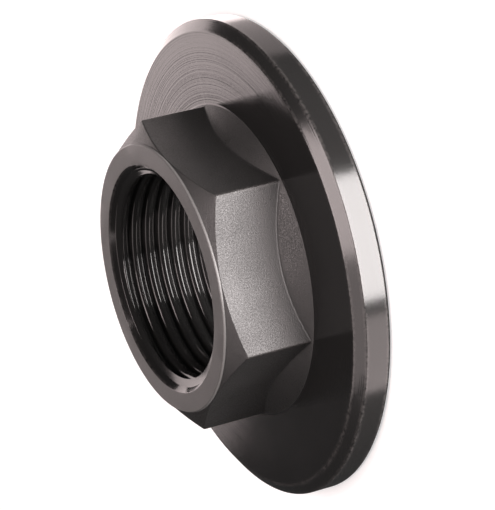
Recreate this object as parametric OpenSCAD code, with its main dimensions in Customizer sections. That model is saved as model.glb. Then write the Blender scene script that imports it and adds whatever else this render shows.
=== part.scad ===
// Flanged back nut for a threaded tank or tap connector, moulded in one piece.
// A hexagon for the spanner stands on a wide round flange, and a parallel pipe thread
// runs right through. The nut stands on the flange's seat: the origin is the centre of
// the seat, +Z points along the thread to the hexagon's end face, and a corner of the
// hexagon lies on +X.

/* [Thread] */
// Diameter at the roots of the thread's grooves
thread_major_d = 26.44; // [22:0.02:29]
// Distance from one crest of the thread to the next
thread_pitch = 1.814; // [1:0.001:2.309]
// How far the thread's crests are cut back from their full height
crest_cut = 0.39; // [0:0.01:0.5]
// How much wider than the roots each mouth is countersunk, all round
mouth_margin = 0.8; // [0.2:0.01:1.2]
// Slope of the countersink, measured from the end face
mouth_angle = 30; // [15:1:60]

/* [Hexagon] */
// Width across the flats, which is the spanner size
hex_af = 33; // [31.5:0.5:46]
// Height of the whole nut, from the seat to the end face
nut_h = 14.7; // [10:0.1:25]
// How far the edge of the round end ring lies inside the flats
ring_inset = 0.05; // [0.05:0.05:1]
// How far the end ring stands above the chamfer on the hexagon's corners
ring_h = 0.35; // [0.1:0.05:0.8]
// Slope of that chamfer, measured from the end face
corner_angle = 30; // [15:1:45]

/* [Flange] */
// Outer diameter of the flange
flange_d = 59; // [50:0.5:80]
// Thickness of the flange
flange_t = 4.3; // [3:0.1:6]
// Width of the bevel between the flange's face and its rim
bevel_w = 1.35; // [0.2:0.05:4]
// Height of that bevel
bevel_h = 1; // [0.2:0.05:2]
// Size of the small chamfer where the rim meets the seat
seat_edge = 0.4; // [0.1:0.05:0.8]

/* [Collar] */
// How far the foot of the conical collar stands outside the hexagon's corners
collar_margin = 0.2; // [0.05:0.05:2]
// Slope of the collar, measured from the flange's face
collar_angle = 38; // [25:1:55]

/* [Hidden] */

// A pipe thread's flanks slope by this angle, and these shares of its pitch are its full depth
// and the radius of the round at the root of each groove
FLANK_ANGLE = 27.5;
DEPTH_PER_PITCH = 0.6403;
ROUND_PER_PITCH = 0.1373;
thread_minor_d = thread_major_d - 2 * (DEPTH_PER_PITCH * thread_pitch - crest_cut);
mouth_d = thread_major_d + 2 * mouth_margin;
mouth_depth = (mouth_d - thread_minor_d) / 2 * tan(mouth_angle);
groove_count = floor((nut_h - 2 * mouth_depth) / thread_pitch);

hex_ac = hex_af / cos(30);
ring_d = hex_af - 2 * ring_inset;
collar_d = hex_ac + 2 * collar_margin;

// Cuts reach this far past the surfaces they open, and joined solids this far into each other
OVERLAP = 0.5;

// Rounds are drawn with this many sides
$fn = 128;

// Flange with its bevelled rim and its broken seat edge
module flange() {
    r = flange_d / 2;
    rotate_extrude()
        polygon([
            [0, 0],
            [r - seat_edge, 0],
            [r, seat_edge],
            [r, flange_t - bevel_h],
            [r - bevel_w, flange_t],
            [0, flange_t]
        ]);
}

// Cone that fills the corner between the flats and the flange
module collar() {
    top_d = hex_af - 2 * OVERLAP;
    rise = (collar_d - top_d) / 2 * tan(collar_angle);
    translate([0, 0, flange_t])
        cylinder(h = rise, d1 = collar_d, d2 = top_d);
}

// Hexagon prism, with its corners turned down around the raised end ring
module hexagon() {
    envelope_r = hex_ac / 2 + OVERLAP;
    ring_foot = nut_h - ring_h;
    drop = (envelope_r - ring_d / 2) * tan(corner_angle);
    intersection() {
        cylinder(h = nut_h, d = hex_ac, $fn = 6);
        rotate_extrude()
            polygon([
                [0, 0],
                [envelope_r, 0],
                [envelope_r, ring_foot - drop],
                [ring_d / 2, ring_foot],
                [ring_d / 2, nut_h],
                [0, nut_h]
            ]);
    }
}

// Countersink of one mouth, cut from an end face at z = 0 down along -Z
module mouth_cut() {
    past = OVERLAP / tan(mouth_angle);
    translate([0, 0, -mouth_depth])
        cylinder(h = mouth_depth + OVERLAP, d1 = thread_minor_d, d2 = mouth_d + 2 * past);
}

// One ring-shaped groove with the section of the thread. Two flats stand in for the round root
module thread_groove() {
    crest_r = thread_minor_d / 2;
    root_r = thread_major_d / 2;
    root_round = ROUND_PER_PITCH * thread_pitch;
    round_start_r = root_r - root_round * (1 - sin(FLANK_ANGLE));
    round_w = root_round * cos(FLANK_ANGLE);
    crest_w = round_w + (round_start_r - crest_r) * tan(FLANK_ANGLE);
    rotate_extrude()
        polygon([
            [crest_r - OVERLAP, -crest_w],
            [crest_r, -crest_w],
            [round_start_r, -round_w],
            [root_r, 0],
            [round_start_r, round_w],
            [crest_r, crest_w],
            [crest_r - OVERLAP, crest_w]
        ]);
}

// Bore at the thread's crests with the grooves in its wall, open through both countersunk mouths
module threaded_bore() {
    translate([0, 0, -OVERLAP])
        cylinder(h = nut_h + 2 * OVERLAP, d = thread_minor_d);
    for (i = [0 : groove_count - 1])
        translate([0, 0, nut_h / 2 + (i - (groove_count - 1) / 2) * thread_pitch])
            thread_groove();
    translate([0, 0, nut_h])
        mouth_cut();
    mirror([0, 0, 1])
        mouth_cut();
}

// The whole nut is one moulding
module back_nut() {
    color([0.13, 0.125, 0.12])
        difference() {
            union() {
                flange();
                collar();
                hexagon();
            }
            threaded_bore();
        }
}

back_nut();
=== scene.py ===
# %% [markdown]
# A back nut is the flanged plastic nut that clamps a threaded tail to the wall of a tank.
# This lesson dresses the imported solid: the same nut again, with soft moulded edges,
# a real helical thread and the finishes of black glass-filled nylon.

import math

import bmesh
import bpy
from mathutils import Matrix, Vector


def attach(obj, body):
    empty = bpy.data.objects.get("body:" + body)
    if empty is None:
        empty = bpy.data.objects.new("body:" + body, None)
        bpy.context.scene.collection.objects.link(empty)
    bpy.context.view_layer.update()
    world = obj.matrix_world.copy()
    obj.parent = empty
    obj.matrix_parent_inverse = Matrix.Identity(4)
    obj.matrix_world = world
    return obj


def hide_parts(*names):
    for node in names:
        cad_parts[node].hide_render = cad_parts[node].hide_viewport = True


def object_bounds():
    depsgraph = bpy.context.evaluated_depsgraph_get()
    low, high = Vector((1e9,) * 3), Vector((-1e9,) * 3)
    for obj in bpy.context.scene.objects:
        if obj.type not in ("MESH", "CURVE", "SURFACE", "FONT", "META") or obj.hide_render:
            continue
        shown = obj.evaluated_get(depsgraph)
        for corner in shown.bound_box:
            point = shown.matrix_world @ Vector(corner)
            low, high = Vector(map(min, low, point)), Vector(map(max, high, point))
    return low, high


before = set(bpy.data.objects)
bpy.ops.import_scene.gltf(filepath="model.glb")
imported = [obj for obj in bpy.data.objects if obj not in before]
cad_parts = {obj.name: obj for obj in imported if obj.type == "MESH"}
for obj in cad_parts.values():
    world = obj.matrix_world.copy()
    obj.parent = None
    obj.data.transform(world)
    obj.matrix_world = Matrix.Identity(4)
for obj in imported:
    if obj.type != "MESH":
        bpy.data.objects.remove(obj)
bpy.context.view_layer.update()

# %% [markdown]
# The sizes are those of the solid, in metres. The thread is a G 3/4 pipe thread:
# its grooves are rounded at the crests and at the roots, with flanks 55 degrees apart.
# A standard fixes its full depth and its round root as shares of the pitch.

# %% Sizes
MM = 0.001
THREAD_MAJOR_R = 13.22 * MM
THREAD_PITCH = 1.814 * MM
DEPTH_PER_PITCH = 0.6403
ROUND_PER_PITCH = 0.1373
CREST_CUT = 0.39 * MM
THREAD_MINOR_R = THREAD_MAJOR_R - DEPTH_PER_PITCH * THREAD_PITCH + CREST_CUT
MOUTH_R = THREAD_MAJOR_R + 0.8 * MM
FLAT_R = 16.5 * MM
NUT_H = 14.7 * MM
RING_R = FLAT_R - 0.05 * MM
RING_H = 0.35 * MM
CORNER_SLOPE = math.radians(30)
FLANGE_R = 29.5 * MM
FLANGE_T = 4.3 * MM
BEVEL_W = 1.35 * MM
BEVEL_H = 1.0 * MM
SEAT_EDGE = 0.4 * MM
COLLAR_SLOPE = math.radians(38)
CORNER_R = FLAT_R / math.cos(math.radians(30))
COLLAR_R = CORNER_R + 0.2 * MM
print("thread crest radius in mm:", round(THREAD_MINOR_R / MM, 3))

# %% [markdown]
# No moulded edge is sharp. A Bevel modifier could round them all, but where the widths
# differ each edge needs a weight of its own. Here each corner of the nut's outline gets a
# small round before anything is turned, and where two corners are closer than their
# rounds need, both rounds shrink to fit.

# %% Round the corners of an outline
ROUND_STEPS = 5
ROOM_SHARE = 0.48


def rounded(points, radii):
    """The outline through points, each corner swapped for an arc of ROUND_STEPS + 1 points."""
    corners = [Vector(p) for p in points]
    outline = [corners[0]]
    for i in range(1, len(corners) - 1):
        before, here, after = corners[i - 1], corners[i], corners[i + 1]
        to_before = before - here
        to_after = after - here
        half_angle = to_before.angle(to_after) / 2
        room = ROOM_SHARE * min(to_before.length, to_after.length)
        reach = min(radii[i] / math.tan(half_angle), room)
        radius = reach * math.tan(half_angle)
        bisector = (to_before.normalized() + to_after.normalized()).normalized()
        centre = here + bisector * (radius / math.sin(half_angle))
        start = here + to_before.normalized() * reach - centre
        end = here + to_after.normalized() * reach - centre
        sweep = start.angle(end)
        for k in range(ROUND_STEPS + 1):
            share = k / ROUND_STEPS
            weight_start = math.sin((1 - share) * sweep) / math.sin(sweep)
            weight_end = math.sin(share * sweep) / math.sin(sweep)
            outline.append(centre + start * weight_start + end * weight_end)
    outline.append(corners[-1])
    return outline


square_corner = rounded([(1, 0), (0, 0), (0, 1)], [0, 0.2, 0])
print("points in one rounded corner:", len(square_corner) - 2)

# %% [markdown]
# The hexagon is for the spanner. Going round the axis, its side moves in and out between
# the middle of a flat and a corner, and the corner itself is a small round. A function
# gives that distance for any angle, so no hexagon has to be drawn and bevelled.

# %% The hexagon's side
HEX_EDGE_R = 0.3 * MM
SIXTH = math.radians(60)


def side_distance(angle):
    """Distance from the axis to the hexagon's side at an angle, with its corners rounded."""
    from_flat = abs(angle % SIXTH - SIXTH / 2)
    arc_starts = math.atan((FLAT_R - HEX_EDGE_R) * math.tan(SIXTH / 2) / FLAT_R)
    if from_flat <= arc_starts:
        return FLAT_R / math.cos(from_flat)
    from_corner = SIXTH / 2 - from_flat
    centre = (FLAT_R - HEX_EDGE_R) / math.cos(SIXTH / 2)
    across = centre * math.sin(from_corner)
    return centre * math.cos(from_corner) + math.sqrt(HEX_EDGE_R**2 - across**2)


corner_and_flat = [round(side_distance(angle) / MM, 2) for angle in (0, SIXTH / 2)]
print("side at a corner and at a flat in mm:", corner_and_flat)

# %% [markdown]
# Cut by a half plane from its axis, the nut shows one outline: seat, rim, bevel,
# flange face, collar, flat, chamfer and end ring. Only the flat moves with the angle.
# The seat's mouth is a plain countersink. At the end ring a short steep wall leads to a
# nearly level floor, and the thread's first ridge stands up in it.

# %% The nut's outline at an angle
BLANK_BORE_R = 10.8 * MM
SEAT_MOUTH_SLOPE = math.radians(30)
SEAT_MOUTH_H = (MOUTH_R - BLANK_BORE_R) * math.tan(SEAT_MOUTH_SLOPE)
MOUTH_WALL_W = 0.57 * MM
MOUTH_WALL_H = 0.75 * MM
FLOOR_SLOPE = math.radians(10)
FLOOR_DEPTH = MOUTH_WALL_H + (MOUTH_R - MOUTH_WALL_W - BLANK_BORE_R) * math.tan(FLOOR_SLOPE)


def nut_outline(angle):
    """The outline at an angle, in metres, from its corners and their rounds in mm."""
    side = side_distance(angle)
    collar_top = FLANGE_T + (COLLAR_R - side) * math.tan(COLLAR_SLOPE)
    ring_foot = NUT_H - RING_H
    chamfer_edge = ring_foot - (side - RING_R) * math.tan(CORNER_SLOPE)
    corners = [
        ((BLANK_BORE_R, SEAT_MOUTH_H), 0),
        ((MOUTH_R, 0), 0.15),
        ((FLANGE_R - SEAT_EDGE, 0), 0.2),
        ((FLANGE_R, SEAT_EDGE), 0.2),
        ((FLANGE_R, FLANGE_T - BEVEL_H), 0.15),
        ((FLANGE_R - BEVEL_W, FLANGE_T), 0.15),
        ((COLLAR_R, FLANGE_T), 0.5),
        ((side, collar_top), 0.4),
        ((side, chamfer_edge), 0.2),
        ((RING_R, ring_foot), 0.3),
        ((RING_R, NUT_H), 0.3),
        ((MOUTH_R, NUT_H), 0.15),
        ((MOUTH_R - MOUTH_WALL_W, NUT_H - MOUTH_WALL_H), 0.15),
        ((BLANK_BORE_R, NUT_H - FLOOR_DEPTH), 0),
    ]
    return rounded([point for point, _ in corners], [r * MM for _, r in corners])


print("points in one outline:", len(nut_outline(0)))

# %% [markdown]
# The blank is turned first, as on a lathe. For that its outline is drawn as a line, by
# extruding a vertex from point to point. A curve object would do as well, but Spin in the
# next step works on a mesh.

# %% Draw the outline
def start_clean():
    """Leaves edit mode and deselects every object."""
    if bpy.context.object and bpy.context.object.mode == "EDIT":
        bpy.ops.object.mode_set(mode="OBJECT")
    bpy.ops.object.select_all(action="DESELECT")


def draw_line(name, points):
    """A new object holding one open line, drawn by extruding a vertex in the XZ plane."""
    start_clean()
    bpy.ops.mesh.primitive_plane_add(size=MM)
    line = bpy.context.object
    line.name = line.data.name = name
    bpy.ops.object.mode_set(mode="EDIT")
    bpy.ops.mesh.select_all(action="SELECT")
    bpy.ops.mesh.merge(type="CENTER")
    bpy.ops.transform.translate(value=(points[0][0], 0, points[0][1]))
    for here, after in zip(points, points[1:]):
        step = (after[0] - here[0], 0, after[1] - here[1])
        bpy.ops.mesh.extrude_region_move(TRANSFORM_OT_translate={"value": step})
    return line


nut = draw_line("back_nut_moulding", nut_outline(0))
nut.update_from_editmode()
print("outline drawn with", len(nut.data.edges), "edges")

# %% [markdown]
# Spin copies the line round the axis in equal steps and joins the copies with faces.
# After a full turn it merges the last copy with the first, so the skin has no seam.

# %% Turn the blank
COLUMNS_PER_SIDE = 64
COLUMNS = 6 * COLUMNS_PER_SIDE
bpy.ops.mesh.select_all(action="SELECT")
bpy.ops.mesh.spin(steps=COLUMNS, angle=math.tau, center=(0, 0, 0), axis=(0, 0, 1))
bpy.ops.object.mode_set(mode="OBJECT")
print("turned blank:", len(nut.data.vertices), "points in", COLUMNS, "columns")

# %% [markdown]
# The turned blank is round, and its hexagon is still to come. The equal steps of the
# spin are too coarse for the small rounds on the hexagon's corners. So the columns are
# gathered towards the corners, and the points of each slide to the outline at its new
# angle. A bevel on a milled hexagon would stop short, because the arcs on the flats run
# up to within a hair of the end ring.

# %% Slide the columns to the hexagon
round_outline = [Vector(p) for p in nut_outline(0)]
outlines = {}
for vertex in nut.data.vertices:
    angle = math.atan2(vertex.co.y, vertex.co.x) % math.tau
    column = round(angle / math.tau * COLUMNS) % COLUMNS
    side, step = divmod(column, COLUMNS_PER_SIDE)
    share = 2 * step / COLUMNS_PER_SIDE
    gathered = share**2 / 2 if share <= 1 else 1 - (2 - share) ** 2 / 2
    new_angle = (side + gathered) * SIXTH
    if column not in outlines:
        outlines[column] = nut_outline(new_angle)
    place = Vector((math.hypot(vertex.co.x, vertex.co.y), vertex.co.z))
    row = min(range(len(round_outline)), key=lambda k: (round_outline[k] - place).length_squared)
    radius, height = outlines[column][row]
    vertex.co = (radius * math.cos(new_angle), radius * math.sin(new_angle), height)
print("columns placed:", len(outlines))

# %% [markdown]
# The spun outline is open along the bore. Bridging its two round edges closes it with a
# plain wall. The wall is narrower than the finished thread, so that the tap has material
# to cut.

# %% Close the bore of the blank
bpy.ops.object.mode_set(mode="EDIT")
bpy.ops.mesh.select_all(action="DESELECT")
bpy.ops.mesh.select_non_manifold()
bpy.ops.mesh.bridge_edge_loops()
bpy.ops.mesh.select_all(action="SELECT")
bpy.ops.mesh.normals_make_consistent(inside=False)
bpy.ops.object.mode_set(mode="OBJECT")


def open_edges(piece):
    """How many edges of the mesh don't have just two faces."""
    piece.update_from_editmode()
    mesh = bmesh.new()
    mesh.from_mesh(piece.data)
    count = sum(not edge.is_manifold for edge in mesh.edges)
    mesh.free()
    return count


print("blank:", len(nut.data.polygons), "faces,", open_edges(nut), "open edges")

# %% [markdown]
# The real thread is formed by a core that screws out of the mould, and a tap does the
# same here. Rings cut one above the other would look much alike, but wouldn't climb.
# The tap starts as one pitch of the thread's outline: half a crest, a flank, the round
# root, a flank and half a crest.

# %% One pitch of the thread
ARC_STEPS = 6
FLANK = math.radians(27.5)
ROOT_ROUND = ROUND_PER_PITCH * THREAD_PITCH
CREST_ROUND = ROOT_ROUND + CREST_CUT / (1 / math.sin(FLANK) - 1)


def thread_outline(start_z):
    """Points (radius, height) over one pitch, from one crest of the nut's thread to the next."""
    turn = math.pi / 2 - FLANK
    arc = [turn * k / ARC_STEPS for k in range(ARC_STEPS + 1)]
    root_z = start_z + THREAD_PITCH / 2
    root = [
        (THREAD_MAJOR_R - ROOT_ROUND * (1 - math.cos(a)), root_z - ROOT_ROUND * math.sin(a))
        for a in reversed(arc)
    ]
    crest = [
        (THREAD_MINOR_R + CREST_ROUND * (1 - math.cos(a)), start_z + CREST_ROUND * math.sin(a))
        for a in arc
    ]
    after = [(radius, 2 * root_z - z) for radius, z in reversed(crest + root[:-1])]
    return crest + root + after


print("rounds of root and crest in mm:", [round(r / MM, 3) for r in (ROOT_ROUND, CREST_ROUND)])

# %% [markdown]
# The Screw modifier winds that line up the axis, past both ends of the nut. Each turn
# ends where the next begins, so welding the points leaves one skin, and Fill Holes closes
# its two ends. Going up, the tap turns anticlockwise, so the thread is right-handed.

# %% Wind the tap and close its ends
CREST_Z = 13.14 * MM
TURNS = 12
TURNS_BELOW = 9
STEPS_PER_TURN = 288
MERGE_DISTANCE = 0.0005 * MM
tap = draw_line("tap", thread_outline(CREST_Z - TURNS_BELOW * THREAD_PITCH))
bpy.ops.object.mode_set(mode="OBJECT")
screw = tap.modifiers.new("Thread", "SCREW")
screw.axis = "Z"
screw.angle = math.tau
screw.screw_offset = THREAD_PITCH
screw.iterations = TURNS
screw.steps = screw.render_steps = STEPS_PER_TURN
screw.use_merge_vertices = False
bpy.ops.object.modifier_apply(modifier=screw.name)
bpy.ops.object.mode_set(mode="EDIT")
bpy.ops.mesh.select_all(action="SELECT")
bpy.ops.mesh.remove_doubles(threshold=MERGE_DISTANCE)
print("tap before its ends are closed:", open_edges(tap), "open edges")
bpy.ops.mesh.select_all(action="SELECT")
bpy.ops.mesh.fill_holes(sides=0)
bpy.ops.mesh.select_all(action="SELECT")
bpy.ops.mesh.normals_make_consistent(inside=False)
bpy.ops.object.mode_set(mode="OBJECT")
print("tap:", len(tap.data.polygons), "faces,", open_edges(tap), "open edges")

# %% [markdown]
# A Boolean modifier takes the tap from the blank. Its exact solver is the slow one, and
# it is used because the cut has to end in a closed surface, with no open edge.

# %% Cut the thread
start_clean()
nut.select_set(True)
bpy.context.view_layer.objects.active = nut
cut = nut.modifiers.new("Tap", "BOOLEAN")
cut.operation = "DIFFERENCE"
cut.solver = "EXACT"
cut.object = tap
bpy.ops.object.modifier_apply(modifier=cut.name)
bpy.data.objects.remove(tap)
print("threaded nut:", len(nut.data.polygons), "faces,", open_edges(nut), "open edges")

# %% [markdown]
# Smooth shading hides the facets of the rounds and of the thread. The Weighted Normal
# modifier keeps the wide faces flat in the light, so that only their rounds look curved.
# The finished nut then rides the part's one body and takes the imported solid's place.

# %% Smooth shading
SHARP_ANGLE = math.radians(28)
FAVOUR_WIDE_FACES = 100
bpy.ops.object.shade_smooth_by_angle(angle=SHARP_ANGLE)
weigh = nut.modifiers.new("Even faces", "WEIGHTED_NORMAL")
weigh.mode = "FACE_AREA"
weigh.weight = FAVOUR_WIDE_FACES
weigh.keep_sharp = True
bpy.ops.object.modifier_apply(modifier=weigh.name)
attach(nut, "root")
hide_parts("back_nut")
size = [round((high - low) * 1000, 2) for low, high in zip(*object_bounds())]
print("dressed nut in mm:", size)

# %% [markdown]
# Black nylon mirrors its surroundings like a dark lacquer, and the mould's finish decides
# how sharply. The mould's round faces were turned on a lathe, which left rings too fine
# to feel. Its hexagon was eroded by sparks and prints a fine grain, and the thread's core
# was polished. The end ring gets a paler colour than the rest, a painted light that stands
# in for the light it catches. The edges are painted a little paler as a highlight, and are
# made duller too. All of it is reckoned from the place on the nut, so no picture has to be
# painted or wrapped.

# %% Helpers for the materials
def add_node(tree, kind, inputs=None, **settings):
    """A new node. Each input is a value, or an output socket to be linked."""
    node = tree.nodes.new(kind)
    for name, value in settings.items():
        setattr(node, name, value)
    for key, value in (inputs or {}).items():
        if isinstance(value, bpy.types.NodeSocket):
            tree.links.new(value, node.inputs[key])
        else:
            node.inputs[key].default_value = value
    return node


def maths(tree, operation, *values):
    """The result of a Math node."""
    node = add_node(tree, "ShaderNodeMath", dict(enumerate(values)), operation=operation)
    return node.outputs[0]


def measure(tree, operation, *vectors):
    """The length of a vector, or the distance between two."""
    node = add_node(tree, "ShaderNodeVectorMath", dict(enumerate(vectors)), operation=operation)
    return node.outputs["Value"]


def noise(tree, place, scale, detail):
    """A value between 0 and 1 that wanders from place to place, faster at a larger scale."""
    inputs = {"Vector": place, "Scale": scale, "Detail": detail}
    return add_node(tree, "ShaderNodeTexNoise", inputs).outputs[0]


def spread(tree, value, low, high, to_low, to_high):
    """The value's range from low to high, stretched to a new range and held inside it."""
    inputs = {
        "Value": value, "From Min": low, "From Max": high, "To Min": to_low, "To Max": to_high
    }
    return add_node(tree, "ShaderNodeMapRange", inputs).outputs[0]


print("helpers:", [helper.__name__ for helper in (add_node, maths, measure, noise, spread)])

# %% [markdown]
# The painted highlight on the edges needs to know how far each point is from an edge.
# The round edges are points in the outline, and the hexagon's six corners fold into one
# when the angle swings to and fro.

# %% Where the edges are
ROUND_EDGES = [
    (FLANGE_R, SEAT_EDGE),
    (FLANGE_R, FLANGE_T - BEVEL_H),
    (FLANGE_R - BEVEL_W, FLANGE_T),
    (RING_R, NUT_H),
    (MOUTH_R, NUT_H),
]


def distance_to_edges(tree, place):
    """How far a point is from the nearest edge or hexagon corner, and from the axis."""
    xyz = add_node(tree, "ShaderNodeSeparateXYZ", {0: place})
    flat = add_node(tree, "ShaderNodeCombineXYZ", {0: xyz.outputs[0], 1: xyz.outputs[1]})
    radius = measure(tree, "LENGTH", flat.outputs[0])
    section = add_node(tree, "ShaderNodeCombineXYZ", {0: radius, 1: xyz.outputs[2]}).outputs[0]
    angle = maths(tree, "ARCTAN2", xyz.outputs[1], xyz.outputs[0])
    from_corner = maths(tree, "PINGPONG", angle, SIXTH / 2)
    along = maths(tree, "MULTIPLY", radius, maths(tree, "COSINE", from_corner))
    across = maths(tree, "MULTIPLY", radius, maths(tree, "SINE", from_corner))
    corner = add_node(tree, "ShaderNodeCombineXYZ", {0: along, 1: across}).outputs[0]
    near = measure(tree, "DISTANCE", corner, (CORNER_R, 0, 0))
    for edge in ROUND_EDGES:
        near = maths(tree, "MINIMUM", near, measure(tree, "DISTANCE", section, (*edge, 0)))
    return near, radius


# These are the edges that get the painted highlight.
print("round edges painted paler:", len(ROUND_EDGES))

# %% [markdown]
# One recipe makes every finish. Grain and turning rings stand up as relief, the grain and
# wide soft patches vary the sheen, and near the edges a paler grey is mixed in as a painted
# highlight, where the surface is also made rougher.
# To model the grain would take millions of faces. A bump stands in for it, and changes
# only how the light falls.

# %% The recipe of the nylon
NYLON_IOR = 1.53
BLUE_SHARE = 0.98
# The paler grey of the edges is a painted highlight.
PAINTED_EDGE_HIGHLIGHT = (0.085, 0.080, 0.078, 1)
EDGE_HIGHLIGHT_SHARE = 0.35
HIGHLIGHT_NEAR, HIGHLIGHT_FAR = 0.05 * MM, 0.4 * MM
GRAIN_LOW, GRAIN_HIGH = 0.35, 0.6
EDGE_ROUGHER = 0.08
NOISE_DETAIL = 3
PATCH_SCALE = 160
PATCH_LOW, PATCH_HIGH = 0.3, 0.7
SMOOTHEST, ROUGHEST = 0.88, 1.12
RING_SCALE = 5200
RING_DETAIL = 2
RELIEF = 0.01 * MM


def black_nylon(name, shade, roughness, speckle, grain_scale, grain_depth, ring_depth, gloss=0.5):
    """Black nylon with a spark-eroded grain or turning rings, uneven sheen, and edges painted paler
    as a highlight and made rougher.
    """
    material = bpy.data.materials.new(name)
    material.use_nodes = True
    tree = material.node_tree
    shader = tree.nodes["Principled BSDF"]
    place = add_node(tree, "ShaderNodeTexCoord").outputs["Object"]
    near_edge, radius = distance_to_edges(tree, place)
    patches = noise(tree, place, PATCH_SCALE, NOISE_DETAIL)
    grain = noise(tree, place, grain_scale, NOISE_DETAIL)

    # Near the edges a paler grey is mixed in as a painted highlight, broken up by the grain, and
    # the same mask makes them rougher.
    highlight_and_rough_edge = spread(tree, near_edge, HIGHLIGHT_NEAR, HIGHLIGHT_FAR, EDGE_HIGHLIGHT_SHARE, 0)
    highlight_and_rough_edge = maths(tree, "MULTIPLY", highlight_and_rough_edge, spread(tree, grain, GRAIN_LOW, GRAIN_HIGH, 0, 1))
    colour = add_node(tree, "ShaderNodeMix", {0: highlight_and_rough_edge}, data_type="RGBA")
    colour.inputs["A"].default_value = (shade, shade, shade * BLUE_SHARE, 1)
    colour.inputs["B"].default_value = PAINTED_EDGE_HIGHLIGHT
    tree.links.new(colour.outputs["Result"], shader.inputs["Base Color"])

    smoothest, roughest = roughness * SMOOTHEST, roughness * ROUGHEST
    sheen = spread(tree, patches, PATCH_LOW, PATCH_HIGH, smoothest, roughest)
    sheen = maths(tree, "MULTIPLY_ADD", grain, speckle, maths(tree, "SUBTRACT", sheen, speckle / 2))
    sheen = maths(tree, "MULTIPLY_ADD", highlight_and_rough_edge, EDGE_ROUGHER, sheen)
    tree.links.new(sheen, shader.inputs["Roughness"])

    ring_inputs = {"W": radius, "Scale": RING_SCALE, "Detail": RING_DETAIL}
    rings = add_node(tree, "ShaderNodeTexNoise", ring_inputs, noise_dimensions="1D").outputs[0]
    grain_height = maths(tree, "MULTIPLY", grain, grain_depth)
    height = maths(tree, "ADD", grain_height, maths(tree, "MULTIPLY", rings, ring_depth))
    bump = add_node(tree, "ShaderNodeBump", {"Height": height, "Strength": 1, "Distance": RELIEF})
    tree.links.new(bump.outputs[0], shader.inputs["Normal"])

    shader.inputs["IOR"].default_value = NYLON_IOR
    shader.inputs["Specular IOR Level"].default_value = gloss
    return material


FINISHES = [
    black_nylon(
        "turned_nylon", shade=0.012, roughness=0.15, speckle=0.06,
        grain_scale=2500, grain_depth=0.3, ring_depth=1.4,
    ),
    black_nylon(
        "spark_textured_nylon", shade=0.014, roughness=0.46, speckle=0.9,
        grain_scale=6600, grain_depth=2.6, ring_depth=0,
    ),
    black_nylon(
        "polished_nylon", shade=0.01, roughness=0.12, speckle=0.03,
        grain_scale=1500, grain_depth=0.06, ring_depth=0, gloss=0.42,
    ),
    # The end ring's pale shade is painted light, standing in for the light the ring catches.
    black_nylon(
        "matt_nylon_painted_lighter", shade=0.08, roughness=0.42, speckle=0.4,
        grain_scale=6600, grain_depth=2, ring_depth=0,
    ),
]
for finish in FINISHES:
    nut.data.materials.append(finish)
print("finishes:", [finish.name for finish in FINISHES])

# %% [markdown]
# Each face takes its finish from where it is: polished in the bore, matt on the end ring,
# spark textured on the hexagon and its collar, and turned everywhere else. Faces picked
# by hand would have to be picked again after every change of size.

# %% Give each face its finish
TURNED, SPARK, POLISHED, MATT = range(4)
MOUTH_LIP = 0.02 * MM
RING_ROUND = 0.3 * MM
COLLAR_TOE = 0.05 * MM
counts = [0] * len(FINISHES)
for face in nut.data.polygons:
    radius = math.hypot(face.center.x, face.center.y)
    if radius < MOUTH_R and face.center.z < NUT_H - MOUTH_LIP:
        face.material_index = POLISHED
    elif face.center.z > NUT_H - RING_ROUND:
        face.material_index = MATT
    elif radius < COLLAR_R and face.center.z > FLANGE_T + COLLAR_TOE:
        face.material_index = SPARK
    else:
        face.material_index = TURNED
    counts[face.material_index] += 1
print("faces of each finish:", counts)

# %% [markdown]
# The camera stands a third of a metre away, with a long lens that holds just the nut.
# Its place and its tilt were fitted to the nut's outlines in the photograph. There the
# nut stands on its rim, and here it lies on its seat, so the camera is turned on its side.

# %% Camera
CAMERA_PLACE = (0.03221, -0.29748, 0.14202)
CAMERA_LENS = 191.71
SENSOR_WIDTH = 36
CAMERA_RIGHT = Vector((-0.1948296, -0.43318985, -0.87999317))
CAMERA_UP = Vector((0.97605304, 0.00287745, -0.21751362))
bpy.ops.object.camera_add(location=CAMERA_PLACE)
camera = bpy.context.object
axes = Matrix((CAMERA_RIGHT, CAMERA_UP, CAMERA_RIGHT.cross(CAMERA_UP)))
camera.rotation_euler = axes.transposed().to_euler()
camera.data.lens = CAMERA_LENS
camera.data.sensor_width = SENSOR_WIDTH
bpy.context.scene.camera = camera
print("camera:", CAMERA_LENS, "mm lens,", round(camera.location.length, 3), "m away")

# %% [markdown]
# The nut stood on its rim when it was photographed, between two softboxes in a dark room.
# Here it lies on its seat, so the room is laid down with it: what stood at its side is
# now above and below. The low lamps shine up through the floor, which casts no shadow
# and isn't mirrored by the nut. A glossy black nut shows what it mirrors, so each lamp
# stands where a bright part of the nut mirrors it into the camera.

# %% Lamps
def panel(name, place, width, height, radiance, colour):
    """An area lamp that faces straight down."""
    bpy.ops.object.light_add(type="AREA", location=place)
    lamp = bpy.context.object
    lamp.name = lamp.data.name = name
    lamp.data.shape = "RECTANGLE"
    lamp.data.size = width
    lamp.data.size_y = height
    lamp.data.energy = radiance * math.pi * width * height
    lamp.data.color = colour
    lamp.visible_camera = False
    return lamp


def softbox(name, azimuth, elevation, distance, width, height, radiance, colour):
    """An area lamp that faces the nut, from a direction round it in degrees."""
    a, e = math.radians(azimuth), math.radians(elevation)
    away = Vector((math.cos(a) * math.cos(e), math.sin(a) * math.cos(e), math.sin(e)))
    lamp = panel(name, away * distance, width, height, radiance, colour)
    lamp.rotation_euler = away.to_track_quat("Z", "Y").to_euler()
    return lamp


LILAC = (1, 0.86, 0.85)
WARM_WHITE = (1, 0.95, 0.94)
ROSE_WHITE = (1, 0.90, 0.89)
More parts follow.
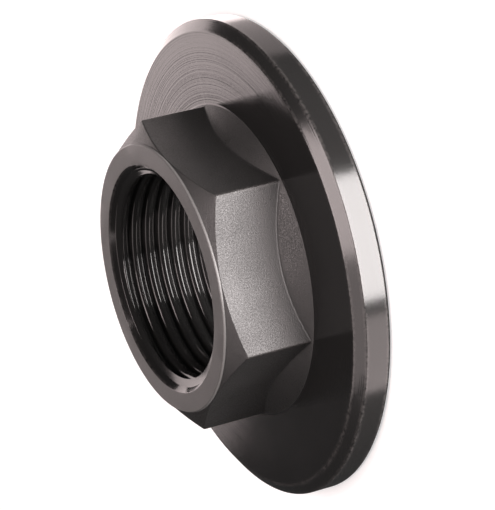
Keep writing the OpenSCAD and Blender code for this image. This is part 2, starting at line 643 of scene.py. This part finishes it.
# Softboxes: azimuth and elevation in degrees, distance, width, height, and radiance
softbox("low_strip", -87, -25, 0.40, 0.385, 0.13, 17.5, WARM_WHITE)
softbox("strip_glow", -86, -3, 0.40, 0.39, 0.18, 17, ROSE_WHITE)
softbox("low_side", -142, -27, 0.40, 0.25, 0.11, 3.4, LILAC)
softbox("backdrop_light", 74, 1, 0.60, 0.39, 0.72, 2.7, LILAC)
softbox("high_back", 42, -26, 0.60, 0.56, 0.20, 1.1, LILAC)
softbox("table_glow", 105.9, 14.8, 0.1021, 0.026, 0.024, 1.8, LILAC)
panel("overhead", (0.11, -0.08, 0.45), 0.30, 0.20, 8, LILAC)
panel("dim_panel", (-0.21, 0.01, 0.45), 0.32, 0.42, 1.9, LILAC)
print("lamps:", [lamp.name for lamp in bpy.data.lights])

# %% [markdown]
# The floor is a wide pale disc. It glows a little, because most of the lamps stand low
# or under it and leave it dim. Another lamp aimed at the floor would light the nut too.

# %% Floor
FLOOR_R = 1.5
FLOOR_SIDES = 96
FLOOR_GLOW = 0.45
PALE = (0.8, 0.8, 0.8, 1)
WHITE = (1, 1, 1, 1)
bpy.ops.mesh.primitive_circle_add(vertices=FLOOR_SIDES, radius=FLOOR_R, fill_type="NGON")
floor = bpy.context.object
floor.name = "floor"
floor.visible_glossy = False
floor.visible_shadow = False
floor_material = bpy.data.materials.new("pale_floor")
floor_material.use_nodes = True
floor_shader = floor_material.node_tree.nodes["Principled BSDF"]
floor_shader.inputs["Base Color"].default_value = PALE
floor_shader.inputs["Roughness"].default_value = 1
floor_shader.inputs["Emission Color"].default_value = WHITE
floor_shader.inputs["Emission Strength"].default_value = FLOOR_GLOW
floor.data.materials.append(floor_material)
print("floor across in m:", round(floor.dimensions.x, 2))

# %% [markdown]
# The world is nearly dark, so that the lamps do the lighting. A Light Path node lets only
# the camera see it white.

# %% World
NEARLY_DARK = (0.05, 0.05, 0.05, 1)
world = bpy.data.worlds.new("studio")
bpy.context.scene.world = world
world.use_nodes = True
tree = world.node_tree
seen = add_node(tree, "ShaderNodeLightPath").outputs["Is Camera Ray"]
mix = add_node(tree, "ShaderNodeMix", {0: seen}, data_type="RGBA")
mix.inputs["A"].default_value = NEARLY_DARK
mix.inputs["B"].default_value = WHITE
tree.links.new(mix.outputs["Result"], tree.nodes["Background"].inputs["Color"])
bpy.context.scene.view_settings.view_transform = "Standard"
print("world:", world.name)
